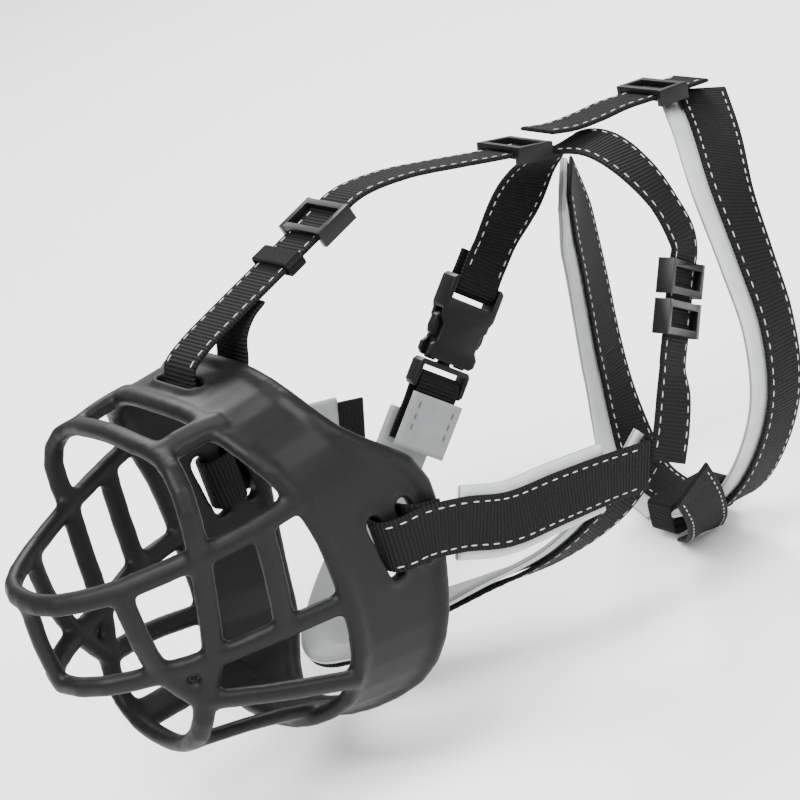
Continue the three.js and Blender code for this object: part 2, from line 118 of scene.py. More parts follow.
def on_side(distance):
    return tuple(SIDE_MIDDLE + SIDE_RUN * distance)


OUT_TOP = (0, -0.25, 0.97)
OUT_CROWN = (0, 0.17, 0.98)
FOREHEAD = [
    ((0, 14, 83.3), (0, 0.4, -0.92)), ((0, 7.5, 80.3), (0, 0.55, -0.83)),
    ((0, 2.2, 74.8), (0, 0.85, -0.5)),
    ((0, -0.6, 67), (0, 1, -0.1)), ((0, -4, 61.2), (0, 0.6, -1)),
    ((0, -14, 60), (0, -0.1, -1)), ((0, -21.6, 62.6), (0, -1, -0.6)),
    ((0, -23, 67.5), (0, -1, 0)), ((0, -21, 74), (0, -1, 0.6)),
    ((0, -12, 78.5), OUT_TOP), ((0, 4, 83.2), OUT_TOP), ((0, 20, 87.6), OUT_TOP),
    ((0, 35, 91.7), OUT_TOP), ((0, 50, 95.8), OUT_TOP), ((0, 65, 99.6), (0, -0.1, 1)),
    ((0, 85, 97.5), (0, 0.1, 1)), ((0, 110, 90.5), OUT_CROWN), ((0, 125, 85.9), OUT_CROWN),
    ((0, 140, 81.6), OUT_CROWN), ((0, 151, 78.6), OUT_CROWN),
]
CROWN = [
    (on_buckle(0, 34, BAR_OFFSET), BUCKLE_OUT), (on_buckle(0, 28, BAR_OFFSET), BUCKLE_OUT),
    (on_buckle(0, 19.5, BAR_OFFSET), BUCKLE_OUT), (on_buckle(0, 17, 0), -BUCKLE_UP),
    (on_buckle(0, 19.5, -BAR_OFFSET), BUCKLE_IN), (on_buckle(0, 28, -BAR_OFFSET), BUCKLE_IN),
    (on_buckle(0, 38, -BAR_OFFSET - 0.5), BUCKLE_IN), ((-34, 155, 48.5), (0.9, -0.35, 0.1)),
    ((-20, 160, 63.5), (0.65, -0.3, -0.6)), ((0, 162, 74), (0, 0, -1)),
    ((17, 165, 74), (-0.4, -0.1, -0.9)), ((33, 166, 65.5), (-0.8, -0.3, -0.6)),
    ((44, 167, 51), (-0.85, -0.45, -0.3)), (on_side(-21), SIDE_IN), (on_side(-10), SIDE_IN),
    (on_side(0), SIDE_IN), (on_side(13), SIDE_IN), (on_side(24), SIDE_IN),
]
SIDE = [
    ((57.5, 136, -11), (-0.95, -0.3, -0.1)), ((59.5, 129, -22), (-1, -0.1, 0.1)),
    ((60.5, 122, -32), (-1, 0, 0.2)),
]
TAB = [
    (tab_line(46, BAR_OFFSET), BUCKLE_OUT), (tab_line(30, BAR_OFFSET), BUCKLE_OUT),
    (tab_line(19.5, BAR_OFFSET), BUCKLE_OUT), (tab_line(17, 0), BUCKLE_UP),
    (tab_line(19.5, -BAR_OFFSET), BUCKLE_IN), (tab_line(30, -BAR_OFFSET), BUCKLE_IN),
    (tab_line(48, -BAR_OFFSET), BUCKLE_IN),
]
TAB_LINING = [(tab_line(d, -BAR_OFFSET), BUCKLE_OUT) for d in (25.5, 36, 48)]
THROAT = [
    ((55, 124, -26), (0.95, 0.1, -0.3)), ((50, 102, -42), (0.85, 0, -0.5)),
    ((38, 78, -53), (0.6, -0.1, -0.8)), ((20, 54, -58), (0.3, -0.2, -0.9)),
    ((0, 32, -64), (0, -0.2, -1)), ((-20, 16, -74), (-0.35, -0.3, -0.9)),
    ((-38, 12, -78), (-0.65, -0.3, -0.7)), ((-53, 24, -74), (-0.9, -0.2, -0.4)),
    ((-61, 43, -62), (-1, 0, -0.1)), (tab_line(78, THROAT_OFFSET), BUCKLE_OUT),
    (tab_line(64, THROAT_OFFSET), BUCKLE_OUT), (tab_line(48, THROAT_OFFSET), BUCKLE_OUT),
    (tab_line(34, THROAT_OFFSET), BUCKLE_OUT),
]
SLOT_LOOP = [
    ((63.2, 21, -1), (-1, 0, 0)), ((61.6, 14, 1.2), (-0.8, 0.6, 0)), ((57.5, 11.9, 2), (0, 1, 0)),
    ((53, 9.8, 2.3), (-0.8, 0.6, 0)), ((52, 5.2, 2.5), (-1, 0, 0)), ((53, 0.3, 2.3), (-0.7, -0.7, 0)),
    ((57.5, -1.2, 2.1), (0, -1, 0)), ((62.2, 0.2, 1.9), (0.7, -0.7, 0)),
    ((65, 5, 1.6), (0.95, -0.2, 0)), ((65.7, 13, 0.8), (1, 0, 0)),
]
LEFT_CHEEK = [
    ((66, 28, -4), (1, 0, 0)), ((66.5, 46, -12), (1, 0.05, 0.05)), ((65.5, 70, -17), (1, 0.05, 0)),
    ((64, 92, -22), (1, 0, -0.1)), ((63, 112, -27), (1, 0, -0.2)),
]
RIGHT_CHEEK = [
    ((-66, 28, -2), (-1, 0, 0)), ((-68, 46, -5), (-1, 0, 0)),
    ((-71, 64, -11), (-1, -0.1, 0)), ((-74, 80, -17), (-1, -0.15, 0)),
]
RIGHT_SLOT_LOOP = [((-p[0], p[1], p[2]), (-o[0], o[1], o[2])) for p, o in SLOT_LOOP]
LEFT_COLLAR = [
    ((5, 228, 66.8), (0.1, 0.3, 1)), ((25, 214, 57), (0.5, 0.2, 0.85)),
    ((45, 198, 42), (0.8, 0.2, 0.6)), ((59, 189, 21), (0.95, 0.2, 0.3)),
    ((67, 184, -4), (1, 0.2, 0)), ((66, 179, -32), (0.95, 0.1, -0.3)),
    ((54, 173, -58), (0.8, 0, -0.6)), ((32, 170, -80), (0.5, -0.1, -0.9)),
    ((4.5, 169, -91), (0.1, -0.1, -1)),
]
RIGHT_COLLAR = [
    ((-17, 172, 54), (0.8, 0.5, 0.2)), ((-30, 180, 27), (0.92, 0.34, 0.1)),
    ((-43, 186, -6), (0.94, 0.34, 0.1)), ((-50, 187, -40), (0.94, 0.34, 0.1)),
    ((-46, 183, -66), (0.8, 0.25, 0.5)), ((-31, 175, -83), (0.5, 0.1, 0.85)),
    ((-4.5, 169, -88), (0.1, 0.1, 1)),
]
NECK_LINK = [
    ((0, 152, 84), (0, 0.2, 1)), ((0, 163, 80.5), (0, 0.15, 1)), ((0, 176, 78.5), (0, 0.05, 1)),
    ((0, 189, 77.4), (0, 0.05, 1)), ((0, 202, 75.1), (0, 0.17, 0.985)),
    ((0, 216, 72.7), (0, 0.17, 0.985)), ((0, 229, 70.5), (0, 0.17, 0.985)),
]
UNDER_LINK = [
    ((10, 162, -97), (0.2, -0.1, -1)), ((30, 152, -84), (0.6, 0, -0.8)),
    ((48, 141, -65), (0.9, 0, -0.4)), ((60, 130, -46), (1, 0, -0.2)),
]


# ---------------------------------------------------------------- camera and stage
CAMERA_ANGLES = (55, 11, 22)  # azimuth, elevation, and the pitch of the part under the camera
CAMERA_DISTANCE = 1000
CAMERA_ASIDE = -38.2  # from the view's axis to the part's origin, rightwards
CAMERA_ABOVE = -42.9
LENS = 123.75
SENSOR = 36


def add_camera():
    """A long lens a metre away; its tilt stands for the part lying nose down."""
    azimuth, elevation, pitch = (math.radians(a) for a in CAMERA_ANGLES)
    right = Vector((math.cos(azimuth), math.sin(azimuth), 0))
    look = Vector((
        -math.sin(azimuth) * math.cos(elevation),
        math.cos(azimuth) * math.cos(elevation),
        -math.sin(elevation),
    ))
    level = Matrix.Rotation(-pitch, 3, "X")
    right, look = level @ right, level @ look
    up = right.cross(look)
    place = -(look * CAMERA_DISTANCE + right * CAMERA_ASIDE + up * CAMERA_ABOVE)
    data = bpy.data.cameras.new("camera")
    data.sensor_width = SENSOR
    data.lens = LENS
    data.clip_end = 20
    camera = bpy.data.objects.new("camera", data)
    bpy.context.scene.collection.objects.link(camera)
    turned = Matrix((right, up, -look)).transposed().to_4x4()
    camera.matrix_world = Matrix.Translation(place * MM) @ turned
    bpy.context.scene.camera = camera


FLOOR_DROP = 0.002
FLOOR_REACH = 6.0
FLOOR_COLOUR = (0.92, 0.92, 0.92, 1)
WORLD_STRENGTH = 0.75
LIT_POINT = Vector((0, 0.06, 0))
LAMPS = (  # name, place in metres, size, energy
    ("key", (0.5, -0.7, 1.3), 0.9, 60),
    ("side", (1.3, 0.5, 1.0), 0.7, 26),
    ("rim", (-0.9, 0.7, 1.1), 0.7, 34),
)


def add_light(name, place, size, energy):
    data = bpy.data.lights.new(name, "AREA")
    data.size = size
    data.energy = energy
    lamp = bpy.data.objects.new(name, data)
    bpy.context.scene.collection.objects.link(lamp)
    lamp.location = place
    aim = LIT_POINT - Vector(place)
    lamp.rotation_euler = aim.to_track_quat("-Z", "Y").to_euler()


def add_stage():
    low = CAD_BOX[0][2] - FLOOR_DROP
    mesh = bpy.data.meshes.new("floor")
    corners = [(x * FLOOR_REACH, y * FLOOR_REACH, low) for x, y in ((-1, -1), (1, -1), (1, 1), (-1, 1))]
    mesh.from_pydata(corners, [], [(0, 1, 2, 3)])
    floor = bpy.data.objects.new("floor", mesh)
    bpy.context.scene.collection.objects.link(floor)
    material = new_material("floor_paper")
    shader = material.node_tree.nodes["Principled BSDF"]
    shader.inputs["Base Color"].default_value = FLOOR_COLOUR
    shader.inputs["Roughness"].default_value = 0.9
    mesh.materials.append(material)
    world = bpy.data.worlds.new("studio")
    bpy.context.scene.world = world
    world.use_nodes = True
    background = world.node_tree.nodes["Background"]
    background.inputs["Color"].default_value = (1, 1, 1, 1)
    background.inputs["Strength"].default_value = WORLD_STRENGTH
    for lamp in LAMPS:
        add_light(*lamp)


# ---------------------------------------------------------------- materials
def new_material(name):
    material = bpy.data.materials.new(name)
    material.use_nodes = True
    return material


class Graph:
    """Short calls for building one material's nodes."""

    def __init__(self, name, rough, spec):
        self.material = new_material(name)
        self.tree = self.material.node_tree
        self.shader = self.tree.nodes["Principled BSDF"]
        self.shader.inputs["Roughness"].default_value = rough
        self.shader.inputs["Specular IOR Level"].default_value = spec

    def node(self, kind, **values):
        made = self.tree.nodes.new(kind)
        for name, value in values.items():
            setattr(made, name, value)
        return made

    def link(self, source, target):
        self.tree.links.new(source, target)

    def maths(self, operation, first, second=None):
        made = self.node("ShaderNodeMath", operation=operation)
        for socket, value in zip(made.inputs, (first, second)):
            if value is None:
                continue
            if isinstance(value, (int, float)):
                socket.default_value = value
            else:
                self.link(value, socket)
        return made.outputs[0]

    def noise(self, scale, detail, vector=None):
        made = self.node("ShaderNodeTexNoise")
        made.inputs["Scale"].default_value = scale
        made.inputs["Detail"].default_value = detail
        if vector is None:
            vector = self.node("ShaderNodeTexCoord").outputs["Object"]
        self.link(vector, made.inputs["Vector"])
        return made.outputs["Fac"]

    def strap_axes(self):
        """Millimetres along and across a strap, kept on the mesh when it is built."""
        held = self.node("ShaderNodeAttribute", attribute_name="strap")
        split = self.node("ShaderNodeSeparateXYZ")
        self.link(held.outputs["Vector"], split.inputs[0])
        return split.outputs["X"], split.outputs["Y"], held.outputs["Vector"]

    def depth_axis(self):
        """Millimetres from a strap's middle layer, positive outwards."""
        held = self.node("ShaderNodeAttribute", attribute_name="depth")
        return held.outputs["Fac"]

    def wave(self, coordinate, pitch):
        return self.maths("SINE", self.maths("MULTIPLY", coordinate, 2 * math.pi / pitch))

    def ramp(self, factor, dark, light):
        made = self.node("ShaderNodeValToRGB")
        made.color_ramp.elements[0].color = (*dark, 1)
        made.color_ramp.elements[1].color = (*light, 1)
        self.link(factor, made.inputs["Fac"])
        self.link(made.outputs["Color"], self.shader.inputs["Base Color"])
        return made

    def bump(self, height, distance, strength):
        made = self.node("ShaderNodeBump")
        made.inputs["Strength"].default_value = strength
        made.inputs["Distance"].default_value = distance
        self.link(height, made.inputs["Height"])
        self.link(made.outputs["Normal"], self.shader.inputs["Normal"])

    def rough(self, factor, low, high):
        made = self.node("ShaderNodeMapRange")
        made.inputs["To Min"].default_value = low
        made.inputs["To Max"].default_value = high
        self.link(factor, made.inputs["Value"])
        self.link(made.outputs["Result"], self.shader.inputs["Roughness"])


YARN_PITCH = 0.8
SEAM_BAND = (0.46, 0.54)  # where the dark seam lies through a lining's thickness
SEAM_COLOUR = (0.05, 0.05, 0.055, 1)


def rubber_material():
    g = Graph("basket_rubber_matte", 0.5, 0.16)
    cloudy = g.noise(28, 4)
    g.ramp(cloudy, (0.0022, 0.0023, 0.0026), (0.0055, 0.0057, 0.0062))
    grain = g.noise(2600, 2)
    soft = g.noise(320, 3)
    g.bump(g.maths("ADD", g.maths("MULTIPLY", grain, 0.4), soft), 0.00012, 0.5)
    g.rough(cloudy, 0.42, 0.58)
    return g.material


def plastic_material():
    g = Graph("hardware_moulded_plastic", 0.38, 0.2)
    cloudy = g.noise(60, 3)
    g.ramp(cloudy, (0.0016, 0.0017, 0.002), (0.004, 0.0042, 0.0047))
    g.bump(g.noise(3400, 2), 0.00006, 0.5)
    g.rough(g.noise(180, 3), 0.3, 0.46)
    return g.material


def webbing_material():
    g = Graph("black_webbing", 0.7, 0.1)
    along, across, both = g.strap_axes()
    ribs = g.wave(along, RIB_PITCH)
    yarns = g.wave(across, YARN_PITCH)
    fuzz = g.noise(3, 4, both)
    height = g.maths("ADD", ribs, g.maths("ADD", g.maths("MULTIPLY", yarns, 0.35), fuzz))
    # Painted highlight: the colour is lighter on each rib's crest, where light would catch; the fuzz
    # noise adds random tone.
    rib_crest_highlight = g.maths("MULTIPLY", g.maths("ADD", ribs, 1.0), 0.3)
    tone = g.maths("ADD", rib_crest_highlight, g.maths("MULTIPLY", fuzz, 0.5))
    g.ramp(tone, (0.0008, 0.0008, 0.001), (0.009, 0.0092, 0.01))
    g.bump(height, 0.00025, 0.9)
    return g.material


def neoprene_material(name, low, high):
    """Two knitted skins on a foam core, with the seam between them dark along the edge; the skin
    towards the webbing is painted lighter as a painted highlight, the inner skin darker as painted
    shade.
    """
    g = Graph(name, 0.85, 0.2)
    along, across, both = g.strap_axes()
    knit = g.maths("MULTIPLY", g.wave(along, YARN_PITCH), g.wave(across, YARN_PITCH))
    fuzz = g.noise(1.6, 5, both)
    broad = g.noise(0.12, 3, both)
    through = g.maths("ADD", g.maths("DIVIDE", g.depth_axis(), LINING_THICK), 0.5)
    # Painted light through the thickness: painted shade on the inner half, then the dark seam band,
    # which is a real joint, then a painted highlight on the half towards the webbing.
    lit_and_shaded_sides = g.ramp(through, low, low)
    steps = lit_and_shaded_sides.color_ramp
    steps.interpolation = "CONSTANT"
    steps.elements[1].position = SEAM_BAND[0]
    steps.elements[1].color = SEAM_COLOUR
    steps.elements.new(SEAM_BAND[1]).color = (*high, 1)
    shade = g.node("ShaderNodeMix", data_type="RGBA", blend_type="MULTIPLY")
    shade.inputs["Factor"].default_value = 0.35
    g.link(lit_and_shaded_sides.outputs["Color"], shade.inputs["A"])
    tone = g.maths("ADD", g.maths("MULTIPLY", fuzz, 0.6), g.maths("MULTIPLY", broad, 0.8))
    g.link(tone, shade.inputs["B"])
    g.link(shade.outputs["Result"], g.shader.inputs["Base Color"])
    g.bump(g.maths("ADD", g.maths("MULTIPLY", knit, 0.5), fuzz), 0.00018, 0.6)
    g.shader.inputs["Sheen Weight"].default_value = 0.15
    g.shader.inputs["Sheen Roughness"].default_value = 0.6
    return g.material


def thread_material(name, dark, light):
    g = Graph(name, 0.55, 0.5)
    g.ramp(g.noise(900, 3), dark, light)
    g.bump(g.noise(5200, 2), 0.00005, 0.7)
    return g.material


# The first colour is painted shade on the inner skin, the second a painted highlight on the skin
# towards the webbing.
GREY_NEOPRENE = neoprene_material("grey_neoprene", (0.23, 0.235, 0.24), (0.42, 0.43, 0.44))
PALE_THREAD = thread_material("pale_thread", (0.2, 0.2, 0.2), (0.45, 0.45, 0.45))
DARK_THREAD = thread_material("dark_thread", (0.03, 0.03, 0.035), (0.09, 0.09, 0.1))
MATERIALS = {  # each kind's material and its slot in the record
    "rubber": (rubber_material(), "basket_rubber"),
    "plastic": (plastic_material(), "hardware_plastic"),
    "webbing": (webbing_material(), "webbing"),
    "neoprene": (GREY_NEOPRENE, "neoprene"),
    "thread": (PALE_THREAD, "webbing"),
    "dark_thread": (DARK_THREAD, "neoprene"),
}


# ---------------------------------------------------------------- pieces
def finish_piece(piece, kind, body=ROOT, nodes=()):
    material, slot = MATERIALS[kind]
    piece.data.materials.clear()
    piece.data.materials.append(material)
    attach(piece, body)
    if nodes:
        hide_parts(*nodes)
    return piece


def object_from(name, mesh):
    piece = bpy.data.objects.new(name, mesh)
    bpy.context.scene.collection.objects.link(piece)
    return piece


SHORTEST_SPAN = 1e-6
CURVE_STEPS = 40  # between two points of a route
TANGENT_SPAN = 3  # curve steps taken on each side for a tangent


def catmull(points, segment, share):
    """A centripetal Catmull-Rom segment, as the CAD straps use."""
    first, last = points[segment], points[segment + 1]
    before = points[segment - 1] if segment > 0 else first * 2 - last
    after = points[segment + 2] if segment + 2 < len(points) else last * 2 - first
    spans = ((before, first), (first, last), (last, after))
    d0, d1, d2 = (max((b - a).length, SHORTEST_SPAN) ** 0.5 for a, b in spans)
    t1 = ((first - before) / d0 - (last - before) / (d0 + d1) + (last - first) / d1) * d1
    t2 = ((last - first) / d1 - (after - first) / (d1 + d2) + (after - last) / d2) * d1
    c2 = first * -3 + last * 3 - t1 * 2 - t2
    c3 = first * 2 - last * 2 + t1 + t2
    return first + t1 * share + c2 * share ** 2 + c3 * share ** 3


class Ribbon:
    """A strap's stations: centre, along, across and outward at even steps, in millimetres."""

    def __init__(self, route, spacing):
        points = [Vector(p) for p, _ in route]
        faces = [Vector(o).normalized() for _, o in route]
        line, outs = [], []
        for segment in range(len(points) - 1):
            for step in range(CURVE_STEPS):
                line.append(catmull(points, segment, step / CURVE_STEPS))
                outs.append(catmull(faces, segment, step / CURVE_STEPS))
        line.append(points[-1])
        outs.append(faces[-1])
        reach = [0.0]
        for a, b in zip(line, line[1:]):
            reach.append(reach[-1] + (b - a).length)
        self.length = reach[-1]
        count = max(2, round(self.length / spacing))
        self.stations = []
        place = 0
        for i in range(count + 1):
            wanted = self.length * i / count
            while place < len(line) - 2 and reach[place + 1] < wanted:
                place += 1
            share = (wanted - reach[place]) / max(reach[place + 1] - reach[place], 1e-9)
            centre = line[place].lerp(line[place + 1], share)
            low = max(0, place - TANGENT_SPAN)
            high = min(len(line) - 1, place + TANGENT_SPAN + 1)
            along = (line[high] - line[low]).normalized()
            out = outs[place].lerp(outs[place + 1], share)
            out = (out - along * out.dot(along)).normalized()
            self.stations.append((wanted, centre, along, out.cross(along), out))

    def at(self, distance):
        share = min(max(distance / self.length, 0), 1) * (len(self.stations) - 1)
        return self.stations[round(share)]


def skin_rings(name, rings, values, closed=False):
    """A closed mesh from rings of points in millimetres; each point keeps (along, across, depth)."""
    count = len(rings[0])
    verts = [p * MM for ring in rings for p in ring]
    faces = []
    last = len(rings) if closed else len(rings) - 1
    for i in range(last):
        n = (i + 1) % len(rings)
        for j in range(count):
            k = (j + 1) % count
            faces.append((i * count + j, i * count + k, n * count + k, n * count + j))
    if not closed:
        faces.append(tuple(reversed(range(count))))
        faces.append(tuple(range((len(rings) - 1) * count, len(rings) * count)))
    mesh = bpy.data.meshes.new(name)
    mesh.from_pydata(verts, [], faces)
    held = mesh.attributes.new("strap", "FLOAT_VECTOR", "POINT")
    axes = [part for along, across, _ in values for part in (along, across, 0.0)]
    held.data.foreach_set("vector", axes)
    held = mesh.attributes.new("depth", "FLOAT", "POINT")
    held.data.foreach_set("value", [depth for _, _, depth in values])
    bm = bmesh.new()
    bm.from_mesh(mesh)
    bmesh.ops.recalc_face_normals(bm, faces=bm.faces)
    bm.to_mesh(mesh)
    bm.free()
    mesh.shade_smooth()
    return object_from(name, mesh)


FLAT_ROWS = 9
EDGE_TURN = (60, 20, -20, -60)  # degrees round a strap's edge


def flat(_):
    return 0.0


def band_section(width, thick, edge, lumps):
    """Points (across, outward) round a strap with rounded edges; lumps(across) adds thickness."""
    half = width / 2
    top = []
    for i in range(FLAT_ROWS):
        across = -half + edge + (width - 2 * edge) * i / (FLAT_ROWS - 1)
        top.append((across, thick / 2 + lumps(across)))
    turn = []
    for angle in EDGE_TURN:
        a = math.radians(angle)
        turn.append((half - edge + edge * math.cos(a), thick / 2 * math.sin(a)))
    bottom = [(a, -o) for a, o in reversed(top)]
    back = [(-a, -o) for a, o in turn]
    return top + turn + bottom + back


WEB_SWELL = (0.1, 0.15)  # added to each face between ribs and at each rib
WEB_SELVEDGE = 0.12  # added to each long edge
WEB_TRIM = (0.3, 0.25)  # taken off the width and thickness beforehand
END_SQUEEZE = 0.75
END_REACH = 0.01


def webbing_piece(name, route, nodes, body=ROOT):
    """A faintly ribbed strap."""
    ribbon = Ribbon(route, RIB_PITCH / 2)
    section = band_section(WEB_WIDTH - WEB_TRIM[0], WEB_THICK - WEB_TRIM[1], WEB_EDGE, flat)
    rings, values = [], []
    for i, (distance, centre, _, across, out) in enumerate(ribbon.stations):
        swell = WEB_SWELL[i % 2]
        at_end = min(distance, ribbon.length - distance) < END_REACH
        squeeze = END_SQUEEZE if at_end else 1.0
        ring = []
        for a, o in section:
            step = WEB_SELVEDGE if abs(a) > WEB_WIDTH / 2 - WEB_EDGE else 0.0
            side = a + math.copysign(step, a)
            lift = o * squeeze + math.copysign(swell, o)
            ring.append(centre + across * side + out * lift)
            values.append((distance, a, o))
        rings.append(ring)
    finish_piece(skin_rings(name, rings, values), "webbing", body, nodes)


LINING_SPACING = 2.0
QUILT_DEPTH = 0.5
QUILT_WIDTH = 1.1


def quilt(across):
    """The groove that a row of stitches pulls into a lining."""
    seam = abs(abs(across) - STITCH_ROW)
    return -QUILT_DEPTH * math.exp(-((seam / QUILT_WIDTH) ** 2))


def lining_piece(node, route, body, extra_gap, width, aside):
    """The padded strip under a webbing; aside moves it across the strap."""
    ribbon = Ribbon(route, LINING_SPACING)
    depth = -(WEB_THICK / 2 + SEAM_GAP + LINING_THICK / 2) - extra_gap
    section = band_section(width, LINING_THICK, LINING_EDGE, quilt)
    rings, values = [], []
    for distance, centre, _, across, out in ribbon.stations:
        middle = centre + out * depth + across * aside
        rings.append([middle + across * a + out * o for a, o in section])
        values.extend((distance, a, o) for a, o in section)
    piece = skin_rings(node + "_foam", rings, values)
    finish_piece(piece, "neoprene", body, (node,))


STITCH_SIDES = 6
STITCH_PROFILE = ((-0.5, 0.25), (-0.36, 0.85), (0, 1.0), (0.36, 0.85), (0.5, 0.25))


def stitch(bm, place, along, across, out):
    """One rounded dash of thread, sunk a little into the fabric."""
    rings = []
    for share, scale in STITCH_PROFILE:
        ring = []
        for k in range(STITCH_SIDES):
            a = math.tau * k / STITCH_SIDES
            aside = across * (STITCH_WIDTH / 2 * scale * math.cos(a))
            p = place + along * (STITCH_LENGTH * share) + aside
            ring.append(bm.verts.new((p + out * (STITCH_HEIGHT * scale * math.sin(a))) * MM))
        rings.append(ring)
    for a, b in zip(rings, rings[1:]):
        for k in range(STITCH_SIDES):
            n = (k + 1) % STITCH_SIDES
            bm.faces.new((a[k], a[n], b[n], b[k]))
    bm.faces.new(list(reversed(rings[0])))
    bm.faces.new(rings[-1])


STATION_SPACING = 0.4  # of the ribbon that stitches are placed on
THREAD_SINK = 0.05
BOTH = (1, -1)  # the outer and the inner face of a strap
OUTSIDE = (1,)
INSIDE = (-1,)


def stitch_lines(name, route, ends, faces, rows=EDGE_ROWS, kind="thread", body=ROOT, depth=0.0):
    """Dashed rows along a strap; ends are the lengths left plain at its start and end."""
    ribbon = Ribbon(route, STATION_SPACING)
    start, plain = ends
    bm = bmesh.new()
    count = int((ribbon.length - plain - start) / STITCH_PITCH)
    for i in range(count):
        distance = start + (i + 0.5) * STITCH_PITCH
        _, centre, along, across, out = ribbon.at(distance)
        for row in rows:
            for face in faces:
                lift = face * (WEB_THICK / 2 - THREAD_SINK) + depth
                place = centre + across * row + out * lift
                stitch(bm, place, along, across, out * face)
    bmesh.ops.recalc_face_normals(bm, faces=bm.faces)
    mesh = bpy.data.meshes.new(name)
    bm.to_mesh(mesh)
    bm.free()
    mesh.shade_smooth()
    finish_piece(object_from(name, mesh), kind, body)


LEFT_CHEEK_LOOP = SLOT_LOOP + LEFT_CHEEK
RIGHT_CHEEK_LOOP = RIGHT_SLOT_LOOP + RIGHT_CHEEK
LININGS = (  # node, route, body, extra gap, width, shift across
    ("plug_tab_lining", TAB_LINING, PLUG, 0.0, 25.0, 0.0),
    ("throat_strap_lining", THROAT, ROOT, 0.3, 25.5, 0.0),
    ("cheek_lining_left", LEFT_CHEEK[:4], ROOT, 0.0, 27.0, 0.0),
    ("cheek_lining_right", RIGHT_CHEEK[:3], ROOT, 0.0, 26.0, 0.0),
    ("collar_lining_left", LEFT_COLLAR, ROOT, 0.3, 27.0, -3.0),
    ("collar_lining_right", RIGHT_COLLAR, ROOT, 0.0, 27.0, -4.0),
)
# Name, side, route, nodes it replaces, lengths left plain at its ends, stitched faces.
STITCHED_STRAPS = (
    ("forehead", "", FOREHEAD, ("forehead_strap",), (60, 2), BOTH),
    ("crown", "", CROWN + SIDE, ("crown_strap", "side_strap"), (30, 1), BOTH),
    ("throat", "", THROAT, ("throat_strap",), (2, 2), OUTSIDE),
    ("cheek", "_left", LEFT_CHEEK_LOOP, ("cheek_strap_left",), (36, 2), OUTSIDE),
    ("cheek", "_right", RIGHT_CHEEK_LOOP, ("cheek_strap_right",), (36, 2), OUTSIDE),
    ("collar", "_left", LEFT_COLLAR, ("collar_left",), (2, 2), OUTSIDE),
    ("collar", "_right", RIGHT_COLLAR, ("collar_right",), (2, 2), OUTSIDE),
    ("neck", "", NECK_LINK, ("neck_link",), (1, 1), BOTH),
    ("under", "", UNDER_LINK, ("collar_throat_link",), (1, 1), OUTSIDE),
)


def add_straps():
    for name, side, route, nodes, ends, faces in STITCHED_STRAPS:
        webbing_piece(name + "_webbing" + side, route, nodes)
        stitch_lines(name + "_stitches" + side, route, ends, faces)
    webbing_piece("tab_webbing", TAB, ("plug_tab",), PLUG)
    stitch_lines("tab_stitches", TAB_LINING, (2, 2), INSIDE, TAB_ROWS, "dark_thread", PLUG, LINING_BACK)
    for lining in LININGS:
        lining_piece(*lining)


SLOTS = [  # centre, long direction and outward of each strap slot in the basket
    ((0, -23, 67), (1, 0, 0), (0, 0.05, 1)),
    ((58, -1, 2), (0, -0.12, 1), (1, 0, 0)), ((58, 12, 2), (0, -0.12, 1), (1, 0, 0)),
    ((-58, -1, 2), (0, -0.12, 1), (-1, 0, 0)), ((-58, 12, 2), (0, -0.12, 1), (-1, 0, 0)),
]


LIP_HEIGHT = 2.1  # outwards from a slot's centre
LIP_REACH = 10.3  # from a slot's centre to the centre of its round end
LIP_RADIUS = 4.1
LIP_TUBE = 1.25
LIP_STEPS = 8  # round each end of a slot
LIP_SIDES = 8  # round the bead


def add_lip(bm, centre, long, outward):
    """A raised bead round one strap slot, on the outer face of the wall."""
    long = long.normalized()
    short = outward.cross(long)
    centre = centre + outward * LIP_HEIGHT
    rings = []
    for end in (1, -1):
        for step in range(LIP_STEPS + 1):
            turn = math.radians(-90 + 180 * step / LIP_STEPS)
            away = long * (math.cos(turn) * end) + short * (math.sin(turn) * end)
            point = centre + long * (LIP_REACH * end) + away * LIP_RADIUS
            ring = []
            for k in range(LIP_SIDES):
                a = math.tau * k / LIP_SIDES
                offset = away * (LIP_TUBE * math.cos(a)) + outward * (LIP_TUBE * math.sin(a))
                ring.append(bm.verts.new((point + offset) * MM))
            rings.append(ring)
    made = []
    for a, b in zip(rings, rings[1:] + rings[:1]):
        for k in range(LIP_SIDES):
            n = (k + 1) % LIP_SIDES
            made.append(bm.faces.new((a[k], a[n], b[n], b[k])))
    bmesh.ops.recalc_face_normals(bm, faces=made)


VOXEL = 1.15
FILLET_PASSES = 7


def apply_modifiers(piece):
    graph = bpy.context.evaluated_depsgraph_get()
    made = bpy.data.meshes.new_from_object(piece.evaluated_get(graph))
    piece.modifiers.clear()
    piece.data = made


def add_basket():
    """The moulded basket: the CAD solid remeshed and smoothed, so that its joints get fillets."""
    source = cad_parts["basket"]
    mesh = source.data.copy()
    bm = bmesh.new()
    bm.from_mesh(mesh)
    for centre, long, outward in SLOTS:
        add_lip(bm, Vector(centre), Vector(long), Vector(outward).normalized())
    bm.to_mesh(mesh)
    bm.free()
    piece = object_from("basket_moulding", mesh)
    remesh = piece.modifiers.new("even", "REMESH")
    remesh.mode = "VOXEL"
    remesh.voxel_size = VOXEL * MM
    smooth = piece.modifiers.new("fillet", "SMOOTH")
    smooth.factor = 0.5
    smooth.iterations = FILLET_PASSES
    apply_modifiers(piece)
    piece.data.shade_smooth()
    finish_piece(piece, "rubber", ROOT, ("basket",))


MERGE_DISTANCE = 1e-6  # metres
MERGE_ANGLE = 1  # degrees under which two faces are one flat face
EDGE_ANGLE = 28  # degrees over which an edge is rounded


